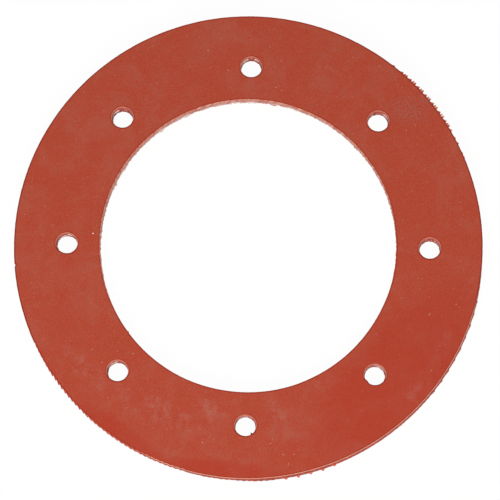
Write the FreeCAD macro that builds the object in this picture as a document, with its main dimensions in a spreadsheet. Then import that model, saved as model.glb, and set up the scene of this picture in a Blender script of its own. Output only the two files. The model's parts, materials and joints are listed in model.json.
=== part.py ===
import FreeCAD, Part
import math
import os
import Sketcher

# Flat round gasket of red silicone rubber: a thick washer with a large bore and eight bolt holes.
# It was cut out of sheet by hand with a toothed cutter, so three stretches of its rim are ragged:
#   upper right: crumbs left standing on the wall just below the top edge, two-pointed and leaning ones by turns
#   lower left: saw-tooth bites through the whole thickness, shallow ones with some deeper ones among them
#   lower right: along the foot of the wall, long saw-tooth nubs and, near the bottom, short stubs
# The bore, the bolt holes and the rest of the rim are cleanly cut and square to the faces.
#
# Millimetres and degrees. The origin is the bore's centre on the bottom face, and +Z is up.
# Angles run anticlockwise from +X, seen from above, and one bolt hole lies on +X.

# Each driving size has a name, a value and a meaning.
SIZES = (
    ("bore_diameter", 98.0, "clear opening in the middle"),
    ("inner_land", 11.0, "bore edge to bolt circle"),
    ("outer_land", 17.5, "bolt circle to rim"),
    ("thickness", 5.0, "sheet thickness"),
    ("bolt_hole_diameter", 7.0, "clearance for an M6 bolt"),
    ("bolt_hole_count", 8, "bolt holes on the circle"),
    ("tooth_pitch", 3.61, "advance of the cutter per tooth, along the rim"),
    ("crumb_count", 7, "crumbs of each kind at the upper right"),
    ("crumb_start_angle", 32.5, "first two-pointed crumb"),
    ("crumb_drop", 0.25, "top of a crumb, below the top face"),
    ("crumb_depth", 2.0, "how far a crumb reaches down the wall"),
    ("crumb_root", 0.8, "how far a crumb's root lies inside the rim"),
    ("crown_width", 1.4, "two-pointed crumb, along the rim"),
    ("crown_height", 0.95, "its points, proud of the rim"),
    ("crown_point_gap", 1.0, "between its two points"),
    ("crown_valley", 0.5, "its middle, proud of the rim"),
    ("leaning_width", 1.3, "leaning crumb, along the rim"),
    ("leaning_height", 0.75, "leaning crumb, proud of the rim"),
    ("bite_start_angle", 205.0, "first bite"),
    ("bite_length", 1.6, "bite, along the rim"),
    ("early_bite_depth", 0.2, "bite of the first run, in from the rim at its step"),
    ("deep_bite_depth", 0.42, "bite of the middle run"),
    ("late_bite_depth", 0.27, "bite of the last run"),
    ("bites_before", 7, "bites in the first run"),
    ("deep_bites", 9, "bites in the middle run"),
    ("bites_after", 22, "bites in the last run"),
    ("nub_pitch", 4.15, "nub to nub and stub to stub, along the rim"),
    ("nub_count", 9, "nubs at the lower right"),
    ("nub_start_angle", -36.9, "first nub"),
    ("nub_length", 3.4, "slope of one nub, along the rim"),
    ("nub_root", 0.15, "how far a nub's root lies inside the rim"),
    ("nub_proud", 0.25, "tip of a nub, out from the rim"),
    ("nub_height", 2.0, "nub, up the wall from the bottom face"),
    ("stub_count", 5, "stubs near the bottom"),
    ("stub_start_angle", -79.9, "first stub"),
    ("stub_width", 1.2, "stub, along the rim"),
    ("stub_tip_width", 0.5, "its outer side, along the rim"),
    ("stub_root", 0.5, "how far a stub's root lies inside the rim"),
    ("stub_proud", 0.45, "stub, out from the rim"),
    ("stub_height", 1.2, "stub, up the wall from the bottom face"),
    ("nick_angle", 185.5, "single nick at the left"),
    ("nick_width", 1.2, "nick, along the rim"),
    ("nick_depth", 0.5, "nick, in from the rim"),
)

# Sizes that follow from the driving ones.
FOLLOWING_SIZES = (
    ("bore_radius", "=bore_diameter / 2"),
    ("bolt_circle_radius", "=bore_radius + inner_land"),
    ("outer_radius", "=bolt_circle_radius + outer_land"),
    ("bolt_hole_radius", "=bolt_hole_diameter / 2"),
    ("degrees_per_length", f"={180 / math.pi:.9f} / outer_radius"),
    ("tooth_step", "=tooth_pitch * degrees_per_length"),
    ("nub_step", "=nub_pitch * degrees_per_length"),
    ("crumb_top", "=thickness - crumb_drop"),
)


def make_sheet(document):
    """The spreadsheet of sizes: the meaning in column A and the value, with its alias, in column B."""
    sheet = document.addObject("Spreadsheet::Sheet", "Sizes")
    row = 1
    for alias, value, meaning in SIZES:
        sheet.set(f"A{row}", meaning)
        sheet.set(f"B{row}", str(value))
        sheet.setAlias(f"B{row}", alias)
        row += 1
    for alias, formula in FOLLOWING_SIZES:
        sheet.set(f"A{row}", alias.replace("_", " "))
        sheet.setAlias(f"B{row}", alias)
        document.recompute()
        sheet.set(f"B{row}", formula)
        row += 1
    document.recompute()
    return sheet


class GasketBody:
    """One solid, built up feature by feature from sketches parallel to the faces."""

    def __init__(self, document, name):
        self.document = document
        self.body = document.addObject("PartDesign::Body", name)
        self.body.Label = name
        self.volume = 0.0

    def sketch(self, name, height="0", turn="0"):
        """A new sketch on the XY plane, raised by height and turned about Z by turn degrees."""
        planes = [plane for plane in self.body.Origin.OriginFeatures if plane.Role == "XY_Plane"]
        sketch = self.body.newObject("Sketcher::SketchObject", name)
        sketch.AttachmentSupport = [(planes[0], "")]
        sketch.MapMode = "FlatFace"
        sketch.setExpression("AttachmentOffset.Base.z", height)
        sketch.setExpression("AttachmentOffset.Rotation.Angle", turn)
        return sketch

    def pad(self, name, sketch, length, downwards=False):
        """Adds material from the sketch, up or down by length."""
        pad = self.body.newObject("PartDesign::Pad", name)
        pad.Profile = sketch
        pad.Reversed = downwards
        pad.setExpression("Length", length)
        self.settle(pad, adds=True)
        return pad

    def cut_through(self, name, sketch):
        """Cuts the sketch's outline down through the whole thickness."""
        pocket = self.body.newObject("PartDesign::Pocket", name)
        pocket.Profile = sketch
        pocket.Type = "ThroughAll"
        self.settle(pocket, adds=False)
        return pocket

    def repeat(self, name, feature, sketch, count, step, adds):
        """Repeats a feature about the Z axis, count times in all, step degrees apart."""
        pattern = self.body.newObject("PartDesign::PolarPattern", name)
        pattern.Originals = [feature]
        pattern.Axis = (sketch, ["N_Axis"])
        pattern.Mode = "Spacing"
        pattern.setExpression("Offset", step)
        pattern.setExpression("Occurrences", count)
        self.body.Tip = pattern
        self.settle(pattern, adds)
        return pattern

    def settle(self, feature, adds):
        """Recomputes, and stops if the feature left the solid's volume as it was or changed it the wrong way."""
        self.document.recompute()
        volume = feature.Shape.Volume
        change = volume - self.volume
        if (change > 0) != adds or abs(change) < 1e-6:
            raise RuntimeError(f"{feature.Name} changed the volume by {change:.6f} mm3")
        self.volume = volume


def add_circle(sketch, radius, centre_distance=None):
    """A circle about the sketch's origin, or with its centre on the sketch's X axis at centre_distance."""
    circle = sketch.addGeometry(Part.Circle(FreeCAD.Vector(1, 0, 0), FreeCAD.Vector(0, 0, 1), 1))
    bound = sketch.addConstraint(Sketcher.Constraint("Radius", circle, 1))
    sketch.setExpression(f"Constraints[{bound}]", radius)
    if centre_distance is None:
        sketch.addConstraint(Sketcher.Constraint("Coincident", circle, 3, -1, 1))
    else:
        sketch.addConstraint(Sketcher.Constraint("PointOnObject", circle, 3, -1))
        bound = sketch.addConstraint(Sketcher.Constraint("DistanceX", -1, 1, circle, 3, 1))
        sketch.setExpression(f"Constraints[{bound}]", centre_distance)


def add_outline(sketch, corners):
    """A closed outline of straight lines between corners, each a pair of expressions for its X and Y."""
    count = len(corners)
    rough = [FreeCAD.Vector(math.cos(math.tau * index / count), math.sin(math.tau * index / count), 0)
             for index in range(count)]
    lines = []
    for index in range(count):
        segment = Part.LineSegment(rough[index], rough[(index + 1) % count])
        lines.append(sketch.addGeometry(segment))
    for index, (x, y) in enumerate(corners):
        line = lines[index]
        sketch.addConstraint(Sketcher.Constraint("Coincident", lines[index - 1], 2, line, 1))
        bound = sketch.addConstraint(Sketcher.Constraint("DistanceX", -1, 1, line, 1, rough[index].x))
        sketch.setExpression(f"Constraints[{bound}]", x)
        bound = sketch.addConstraint(Sketcher.Constraint("DistanceY", -1, 1, line, 1, rough[index].y))
        sketch.setExpression(f"Constraints[{bound}]", y)


def add_ring(gasket):
    """The sheet ring between the bore and the rim."""
    sketch = gasket.sketch("RingSketch")
    add_circle(sketch, "Sizes.outer_radius")
    add_circle(sketch, "Sizes.bore_radius")
    gasket.pad("Ring", sketch, "Sizes.thickness")


def cut_bolt_holes(gasket):
    """The circle of bolt holes, the first of them on +X."""
    sketch = gasket.sketch("BoltHoleSketch", height="Sizes.thickness")
    add_circle(sketch, "Sizes.bolt_hole_radius", "Sizes.bolt_circle_radius")
    hole = gasket.cut_through("BoltHole", sketch)
    gasket.repeat("BoltHoles", hole, sketch, "Sizes.bolt_hole_count", "360 / Sizes.bolt_hole_count", adds=False)


def cut_bites(gasket, name, depth, count, bites_passed):
    """One run of saw-tooth bites, two to each tooth pitch: the rim steps in by depth and slopes out again.

    bites_passed is how many bites lie between the first bite of all and this run.
    """
    turn = f"Sizes.bite_start_angle + ({bites_passed}) * Sizes.tooth_step / 2"
    sketch = gasket.sketch(f"{name}Sketch", height="Sizes.thickness", turn=turn)
    corners = (
        (f"Sizes.outer_radius - {depth}", "0"),
        (f"Sizes.outer_radius + {depth}", "0"),
        (f"Sizes.outer_radius + {depth}", "2 * Sizes.bite_length"),
    )
    add_outline(sketch, corners)
    bite = gasket.cut_through(name, sketch)
    gasket.repeat(f"{name}s", bite, sketch, count, "Sizes.tooth_step / 2", adds=False)


def cut_ragged_lower_left(gasket):
    """The bites at the lower left, in three runs of different depth."""
    cut_bites(gasket, "EarlyBite", "Sizes.early_bite_depth", "Sizes.bites_before", "0")
    cut_bites(gasket, "DeepBite", "Sizes.deep_bite_depth", "Sizes.deep_bites", "Sizes.bites_before")
    passed = "Sizes.bites_before + Sizes.deep_bites"
    cut_bites(gasket, "LateBite", "Sizes.late_bite_depth", "Sizes.bites_after", passed)


def cut_rim_nick(gasket):
    """The single nick at the left, a narrow notch with its point inwards."""
    sketch = gasket.sketch("NickSketch", height="Sizes.thickness", turn="Sizes.nick_angle")
    corners = (
        ("Sizes.outer_radius + Sizes.nick_depth", "Sizes.nick_width"),
        ("Sizes.outer_radius - Sizes.nick_depth", "0"),
        ("Sizes.outer_radius + Sizes.nick_depth", "-Sizes.nick_width"),
    )
    add_outline(sketch, corners)
    gasket.cut_through("Nick", sketch)


def add_crumbs(gasket, name, corners, turn):
    """One kind of crumb on the wall at the upper right, once to each tooth pitch."""
    sketch = gasket.sketch(f"{name}Sketch", height="Sizes.crumb_top", turn=turn)
    add_outline(sketch, corners)
    crumb = gasket.pad(name, sketch, "Sizes.crumb_depth", downwards=True)
    gasket.repeat(f"{name}s", crumb, sketch, "Sizes.crumb_count", "Sizes.tooth_step", adds=True)


def add_ragged_upper_right(gasket):
    """The two-pointed crumbs, and the leaning ones halfway between them."""
    crown = (
        ("Sizes.outer_radius - Sizes.crumb_root", "Sizes.crown_width / 2"),
        ("Sizes.outer_radius - Sizes.crumb_root", "-Sizes.crown_width / 2"),
        ("Sizes.outer_radius + Sizes.crown_height", "-Sizes.crown_point_gap / 2"),
        ("Sizes.outer_radius + Sizes.crown_valley", "0"),
        ("Sizes.outer_radius + Sizes.crown_height", "Sizes.crown_point_gap / 2"),
    )
    add_crumbs(gasket, "Crown", crown, "Sizes.crumb_start_angle")
    leaning = (
        ("Sizes.outer_radius - Sizes.crumb_root", "Sizes.leaning_width / 2"),
        ("Sizes.outer_radius - Sizes.crumb_root", "-Sizes.leaning_width / 2"),
        ("Sizes.outer_radius + Sizes.leaning_height", "-Sizes.leaning_width / 2"),
    )
    add_crumbs(gasket, "LeaningCrumb", leaning, "Sizes.crumb_start_angle + Sizes.tooth_step / 2")


def add_foot_row(gasket, name, corners, turn, height, count):
    """A row of one kind of nub along the foot of the wall, a nub pitch apart."""
    sketch = gasket.sketch(f"{name}Sketch", turn=turn)
    add_outline(sketch, corners)
    nub = gasket.pad(name, sketch, height)
    gasket.repeat(f"{name}s", nub, sketch, count, "Sizes.nub_step", adds=True)


def add_ragged_lower_right(gasket):
    """The nubs, which slope out over their length and step back in, and the stubs near the bottom."""
    nub = (
        ("Sizes.outer_radius - Sizes.nub_root", "-Sizes.nub_length"),
        ("Sizes.outer_radius + Sizes.nub_proud", "0"),
        ("Sizes.outer_radius - Sizes.nub_root", "0"),
    )
    add_foot_row(gasket, "Nub", nub, "Sizes.nub_start_angle", "Sizes.nub_height", "Sizes.nub_count")
    stub = (
        ("Sizes.outer_radius - Sizes.stub_root", "-Sizes.stub_width / 2"),
        ("Sizes.outer_radius + Sizes.stub_proud", "-Sizes.stub_tip_width / 2"),
        ("Sizes.outer_radius + Sizes.stub_proud", "Sizes.stub_tip_width / 2"),
        ("Sizes.outer_radius - Sizes.stub_root", "Sizes.stub_width / 2"),
    )
    add_foot_row(gasket, "Stub", stub, "Sizes.stub_start_angle", "Sizes.stub_height", "Sizes.stub_count")


def check_document(document, bodies):
    """Stops if any object failed to compute, or if a body's shape is empty, broken or not one solid."""
    for item in document.Objects:
        if "Invalid" in item.State or "Error" in item.State:
            raise RuntimeError(f"{item.Name} failed: {item.State}")
    for body in bodies:
        if body.Shape.isNull() or not body.Shape.isValid():
            raise RuntimeError(f"{body.Label} has no valid shape")
        if len(body.Shape.Solids) != 1:
            raise RuntimeError(f"{body.Label} is {len(body.Shape.Solids)} solids, and it is one piece of sheet")


def main():
    """Builds the gasket and writes it to the parts folder."""
    document = FreeCAD.newDocument("SiliconeGasket")
    make_sheet(document)
    gasket = GasketBody(document, "gasket")
    add_ring(gasket)
    cut_bolt_holes(gasket)
    cut_ragged_lower_left(gasket)
    cut_rim_nick(gasket)
    add_ragged_upper_right(gasket)
    add_ragged_lower_right(gasket)
    check_document(document, [gasket.body])
    os.makedirs("parts", exist_ok=True)
    gasket.body.Shape.exportStep(f"parts/{gasket.body.Label}.step")
    box = gasket.body.Shape.BoundBox
    print(f"gasket: {gasket.body.Shape.Volume:.1f} mm3, {len(gasket.body.Shape.Faces)} faces")
    print(f"box: {box.XMin:.3f} {box.YMin:.3f} {box.ZMin:.3f} to {box.XMax:.3f} {box.YMax:.3f} {box.ZMax:.3f}")


main()
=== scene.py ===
"""The looks of a flat round gasket, cut by hand out of red silicone rubber sheet.

Sizes are in millimetres and angles in degrees, unless they say otherwise. The finished mesh is brought to
metres once, at the end. The origin is the bore's centre on the bottom face, +Z is up, and angles run
anticlockwise from +X, seen from above.
"""
import json
import logging
import math
from abc import ABC, abstractmethod
from dataclasses import dataclass, field, replace
from enum import Enum
from typing import Any

import bmesh
import bpy
from bmesh.types import BMEdge, BMesh, BMFace, BMVert
from bpy.types import Material, Node, NodeSocket, NodeTree, Object
from mathutils import Euler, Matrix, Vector, noise


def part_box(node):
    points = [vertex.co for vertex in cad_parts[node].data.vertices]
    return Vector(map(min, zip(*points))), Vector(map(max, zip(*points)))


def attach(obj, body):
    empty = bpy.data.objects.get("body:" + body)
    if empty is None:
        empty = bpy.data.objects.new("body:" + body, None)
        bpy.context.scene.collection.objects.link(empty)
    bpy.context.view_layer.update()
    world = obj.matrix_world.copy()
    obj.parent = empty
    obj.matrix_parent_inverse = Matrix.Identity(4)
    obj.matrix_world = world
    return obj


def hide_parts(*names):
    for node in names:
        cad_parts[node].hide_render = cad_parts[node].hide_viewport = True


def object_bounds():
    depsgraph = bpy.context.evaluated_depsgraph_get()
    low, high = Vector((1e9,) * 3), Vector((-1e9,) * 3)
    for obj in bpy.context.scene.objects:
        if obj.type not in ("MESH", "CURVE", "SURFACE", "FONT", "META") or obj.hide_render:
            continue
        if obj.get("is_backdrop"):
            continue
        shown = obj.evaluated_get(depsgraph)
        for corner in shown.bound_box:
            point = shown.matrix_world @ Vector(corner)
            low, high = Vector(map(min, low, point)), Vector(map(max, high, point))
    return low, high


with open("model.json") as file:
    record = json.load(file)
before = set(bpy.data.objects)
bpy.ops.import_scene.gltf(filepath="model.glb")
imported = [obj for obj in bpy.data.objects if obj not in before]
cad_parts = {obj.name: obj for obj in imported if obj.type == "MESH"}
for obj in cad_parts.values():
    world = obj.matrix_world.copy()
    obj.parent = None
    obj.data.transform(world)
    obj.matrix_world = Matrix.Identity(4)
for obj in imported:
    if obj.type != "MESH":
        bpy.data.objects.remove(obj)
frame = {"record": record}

log = logging.getLogger("gasket")

MM = 0.001
CAD_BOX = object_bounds()
NODE = "gasket"
WHITE = (1.0, 1.0, 1.0, 1.0)
SILICONE_IOR = 1.41

# Heights closer than this count as the same, because a mesh rounds its coordinates.
HAIR = 0.01
# Values of the vertex layer that holds the tone of torn streaks and wear, and also painted shade and painted
# highlights: where a wall is darkest, has its plain colour, and is palest.
DARK_TONE, PLAIN_TONE, PALE_TONE = -0.2, 0.15, 0.85
# A thin darker line painted on the face beside a top edge.
LINE_WIDTH = 0.3
# A strip of the wall that a crumb pushes out further than this is a crumb's.
CRUMB_REACH = 0.1

# Places along a wall, with a height at each.
Outline = tuple[tuple[float, float], ...]
# Start, end and fade of some stretches of a wall.
Arcs = tuple[tuple[float, float, float], ...]


class Surface(Enum):
    """The kinds of surface on the gasket, numbered as its material slots."""

    PRESSED_FACE = 0
    RIM_WALL = 1
    BORE_WALL = 2
    HOLE_WALL = 3
    WORN_ARRIS = 4
    TORN_CRUMB = 5


def srgb(code: str) -> tuple[float, float, float, float]:
    """Turns a colour as it is written for a screen into linear light.

    Args:
        code: six hex digits, red first.

    Returns:
        Red, green, blue and an alpha of 1.
    """
    parts = [int(code[index:index + 2], 16) / 255 for index in (0, 2, 4)]
    linear = [part / 12.92 if part <= 0.04045 else ((part + 0.055) / 1.055) ** 2.4 for part in parts]
    return (*linear, 1.0)


def per_mm(size: float) -> float:
    """The scale of a pattern whose features are size millimetres across, on coordinates in metres."""
    return 1 / (size * MM)


def ramp(value: float, start: float, end: float) -> float:
    """Rises smoothly from 0 at start to 1 at end, which may be the lower of the two."""
    share = min(1.0, max(0.0, (value - start) / (end - start)))
    return share * share * (3 - 2 * share)


def along_points(points: Outline, value: float) -> float:
    """Height of a broken line over value, and 0 outside its ends.

    Args:
        points: places and heights, in rising order of place.
        value: the place to read.

    Returns:
        The height there.
    """
    for (left, low), (right, high) in zip(points, points[1:]):
        if left <= value <= right:
            return low + (high - low) * (value - left) / (right - left)
    return 0.0


def scaled(outline: Outline, size: float) -> Outline:
    """The outline with its heights times size."""
    return tuple((place, height * size) for place, height in outline)


def add_object(name: str, data: bpy.types.ID) -> Object:
    """Adds an object to the scene.

    Args:
        name: of the object.
        data: the mesh, lamp or camera that it holds.

    Returns:
        The object, at the origin.
    """
    made = bpy.data.objects.new(name, data)
    bpy.context.scene.collection.objects.link(made)
    return made


@dataclass(frozen=True)
class Spot:
    """A place on a wall.

    Attributes:
        angle: degrees round the wall's circle.
        radius: of that circle.
        height: above the bottom face.
        thickness: of the sheet.
    """

    angle: float
    radius: float
    height: float
    thickness: float

    def turn_from(self, angle: float) -> float:
        """Degrees from another angle, positive anticlockwise."""
        return (self.angle - angle + 180.0) % 360.0 - 180.0

    def along(self, angle: float) -> float:
        """Millimetres along the circle from another angle, positive anticlockwise."""
        return math.radians(self.turn_from(angle)) * self.radius

    def between(self, foot: float, top: float) -> float:
        """A value that changes evenly from the foot of the wall to its top."""
        return foot + (top - foot) * (self.height / self.thickness)

    def within(self, start: float, end: float, fade: float) -> float:
        """Tells how far the spot is on a stretch of the wall.

        Args:
            start: where the stretch starts.
            end: where it ends.
            fade: how far it goes on beyond both ends.

        Returns:
            1 on the stretch, falling smoothly to 0 over the fade.
        """
        half = (end - start) / 2
        away = abs(self.turn_from((start + end) / 2))
        return 1.0 - ramp(away, half, half + fade)

    def grain(self, size: float, lean: float, squeeze: float, seed: float) -> float:
        """Smooth noise on the wall, from about -1 to 1.

        Args:
            size: across one feature, along the wall.
            lean: how far a feature moves anticlockwise for each millimetre up.
            squeeze: how much longer a feature is up the wall than along it.
            seed: moves the pattern.

        Returns:
            The noise at this spot.
        """
        turn = math.radians(self.angle) - lean * self.height / self.radius
        reach = self.radius / size
        up = self.height / (size * squeeze) + seed
        return noise.noise(Vector((reach * math.cos(turn), reach * math.sin(turn), up)))


class Mark(ABC):
    """Something that the cutting left on a wall."""

    @abstractmethod
    def proud(self, spot: Spot) -> float:
        """Tells how far the mark makes the wall stand out.

        Args:
            spot: the place.

        Returns:
            Millimetres of rubber added, or taken away where it is negative.
        """


@dataclass(frozen=True)
class SawBites(Mark):
    """Bites through the whole thickness: the rim steps in and slopes out again, anticlockwise.

    Attributes:
        start_angle: where the first bite steps in.
        pitch: bite to bite, along the wall.
        length: of a bite's slope.
        depths: of the bites.
    """

    start_angle: float
    pitch: float
    length: float
    depths: tuple[float, ...]

    def proud(self, spot: Spot) -> float:
        """See Mark."""
        run = spot.along(self.start_angle)
        tooth = math.floor(run / self.pitch)
        if not 0 <= tooth < len(self.depths):
            return 0.0
        share = (run - tooth * self.pitch) / self.length
        return -self.depths[tooth] * max(0.0, 1.0 - share)


@dataclass(frozen=True)
class FootRow(Mark):
    """A row of nubs along the foot of the wall, all of one outline.

    Attributes:
        start_angle: of the first nub.
        pitch: nub to nub, along the wall.
        outline: share of a nub's reach, against the place along the wall.
        reaches: how proud each nub is.
        height: of the nubs, above the bottom face.
        full: share of the height up to which they have their whole reach.
    """

    start_angle: float
    pitch: float
    outline: Outline
    reaches: tuple[float, ...]
    height: float
    full: float = 0.7

    def proud(self, spot: Spot) -> float:
        """See Mark."""
        run = spot.along(self.start_angle)
        nub = math.floor((run - self.outline[0][0]) / self.pitch)
        if not 0 <= nub < len(self.reaches):
            return 0.0
        reach = self.reaches[nub] * along_points(self.outline, run - nub * self.pitch)
        return reach * (1.0 - ramp(spot.height, self.full * self.height, self.height))


@dataclass(frozen=True)
class Crumb(Mark):
    """One crumb left standing on the wall below the top edge.

    Attributes:
        angle: of its middle.
        outline: how proud it is, against the place along the wall.
        top: its upper side, above the bottom face.
        depth: how far it reaches down the wall.
        pale: how pale its middle is, partly stretched rubber and partly a painted highlight.
    """

    angle: float
    outline: Outline
    top: float
    depth: float
    pale: float

    def proud(self, spot: Spot) -> float:
        """See Mark."""
        if not self.top - self.depth - HAIR <= spot.height <= self.top + HAIR:
            return 0.0
        return along_points(self.outline, spot.along(self.angle))

    def paleness(self, spot: Spot) -> float:
        """Tells how pale a spot on the crumb's upper half, or close above it, is.

        Args:
            spot: the place.

        Returns:
            A value for the vertex layer of torn streaks and painted light, highest at the crumb's middle, and
            0 away from the crumb.
        """
        core = 0.4 * (self.outline[-1][0] - self.outline[0][0])
        reach = 0.1 + self.depth / 2
        if abs(spot.height - self.top) > reach:
            return 0.0
        return self.pale * ramp(abs(spot.along(self.angle)), core, 0.0)


@dataclass(frozen=True)
class Dent(Mark):
    """A single nick or burr: a rounded bump along the wall, between two heights.

    Attributes:
        angle: of its middle.
        width: along the wall.
        reach: how proud it is, negative for a nick.
        low: where it starts, above the bottom face.
        high: where it ends.
    """

    angle: float
    width: float
    reach: float
    low: float
    high: float

    def proud(self, spot: Spot) -> float:
        """See Mark."""
        if not self.low - HAIR <= spot.height <= self.high + HAIR:
            return 0.0
        return self.reach * max(0.0, 1.0 - abs(spot.along(self.angle)) / (self.width / 2))


@dataclass(frozen=True)
class Wander(Mark):
    """A wall that stands a little to one side of its true circle, as a hand-guided cut does.

    Attributes:
        angle: the side on which rubber is left on; as much is missing opposite.
        top_reach: how much at the top edge.
        foot_reach: how much at the foot.
    """

    angle: float
    top_reach: float
    foot_reach: float

    def proud(self, spot: Spot) -> float:
        """See Mark."""
        reach = spot.between(self.foot_reach, self.top_reach)
        return reach * math.cos(math.radians(spot.angle - self.angle))


@dataclass(frozen=True)
class Stretch(Mark):
    """A stretch where the cut ran out of line or out of square.

    Attributes:
        start: of the stretch.
        end: of the stretch.
        fade: beyond both ends.
        top_reach: rubber left on at the top edge, negative where too much is cut away.
        foot_reach: the same at the foot.
    """

    start: float
    end: float
    fade: float
    top_reach: float
    foot_reach: float

    def proud(self, spot: Spot) -> float:
        """See Mark."""
        return spot.between(self.foot_reach, self.top_reach) * spot.within(self.start, self.end, self.fade)


@dataclass(frozen=True)
class Tearing(Mark):
    """The torn grain of a cut wall: leaning streaks that grow coarser towards the foot.

    Attributes:
        size: across one streak.
        lean: anticlockwise for each millimetre up.
        squeeze: length of a streak against its width.
        top_reach: height of the streaks at the top edge.
        foot_reach: height of the streaks at the foot.
        seed: moves the pattern.
    """

    size: float
    lean: float
    squeeze: float
    top_reach: float
    foot_reach: float
    seed: float

    def proud(self, spot: Spot) -> float:
        """See Mark."""
        return spot.between(self.foot_reach, self.top_reach) * self.streak(spot)

    def streak(self, spot: Spot) -> float:
        """Works out the bare streaks, without their height: coarse ones, with finer and lower ones on them.

        Args:
            spot: the place.

        Returns:
            A value from about -1 to 1.
        """
        finer, lower, moved = 2.3, 0.5, 40.0
        coarse = spot.grain(self.size, self.lean, self.squeeze, self.seed)
        return coarse + lower * spot.grain(self.size / finer, self.lean, self.squeeze, self.seed + moved)


@dataclass(frozen=True)
class Arris:
    """The edge between a face and a wall: a quarter round, crisp or worn, with painted shade on its dark
    stretches.

    Attributes:
        crisp: radius of the round where it is not worn.
        worn: its radius where it is.
        flats: how many strips it is made of.
        arcs: start, end and fade of the worn stretches, in degrees.
        pale: how pale it is where it is worn, partly from wear and partly as a painted highlight.
        streaky: how much of the cut's streaks shows where it is worn.
        dark_arcs: the stretches where it is painted darker than the face, as painted shade.
        dark: how much darker the painted shade makes it.
        line: the tone of the thin darker line painted on the face beside it.
    """

    crisp: float
    worn: float
    flats: int
    arcs: Arcs = ()
    pale: float = 0.9
    streaky: float = 0.15
    dark_arcs: Arcs = ()
    dark: float = 0.25
    line: float = 0.05

    def wear(self, spot: Spot) -> float:
        """How worn the edge is at a spot, from 0 to 1."""
        return max((spot.within(*arc) for arc in self.arcs), default=0.0)

    def paleness(self, spot: Spot, streak: float) -> float:
        """Works out how pale the edge is.

        Args:
            spot: the place.
            streak: height of the cut's streaks there.

        Returns:
            The value for the vertex layer of torn streaks and painted light.
        """
        # Painted shade on the dark stretches; on the worn ones, wear and a painted highlight.
        dark = max((spot.within(*arc) for arc in self.dark_arcs), default=0.0)
        worn = self.pale - PLAIN_TONE + self.streaky * streak
        return PLAIN_TONE - self.dark * dark + self.wear(spot) * worn

    def radius(self, spot: Spot) -> float:
        """The radius of the round at a spot."""
        return self.crisp + (self.worn - self.crisp) * self.wear(spot)

    def steps(self) -> list[tuple[float, float]]:
        """Shares of the radius, from the face's edge to the wall: inside the wall, and away from the face."""
        turns = [math.pi / 2 * index / self.flats for index in range(self.flats + 1)]
        return [(1 - math.sin(turn), 1 - math.cos(turn)) for turn in turns]


@dataclass(frozen=True)
class PaintedShadeAndPallorBand:
    """A band of a wall painted paler than the rest, or darker where its gain is negative: mostly painted
    shade and painted highlights, partly paler torn rubber.

    Attributes:
        start: of its stretch, in degrees.
        end: of its stretch.
        fade: outside both ends.
        low: its lower side, as a share of the thickness.
        high: its upper side.
        gain: how much paler it is.
        blur: of its lower and upper sides, as a share of the thickness.
    """

    start: float
    end: float
    fade: float
    low: float
    high: float
    gain: float
    blur: float = 0.1

    def paleness(self, spot: Spot) -> float:
        """Works out what the band adds.

        Args:
            spot: the place.

        Returns:
            What it adds to the value for the vertex layer of torn streaks and painted light.
        """
        share = spot.height / spot.thickness
        above = ramp(share, self.low - self.blur, self.low + self.blur)
        below = ramp(share, self.high + self.blur, self.high - self.blur)
        return self.gain * (above * below) * spot.within(self.start, self.end, self.fade)


@dataclass(frozen=True)
class Row:
    """One ring of a wall.

    Attributes:
        height: above the bottom face.
        lift: added to the height, as a share of the edge's radius.
        inside: how far it lies inside the wall, as a share of the same radius.
        edge: the edge that it belongs to, if any.
        surface: what the strip below it is.
        inset: how far it lies on the face, beyond the edge, or 0 off the face.
    """

    height: float
    lift: float
    inside: float
    edge: Arris | None
    surface: Surface
    inset: float = 0.0


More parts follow.
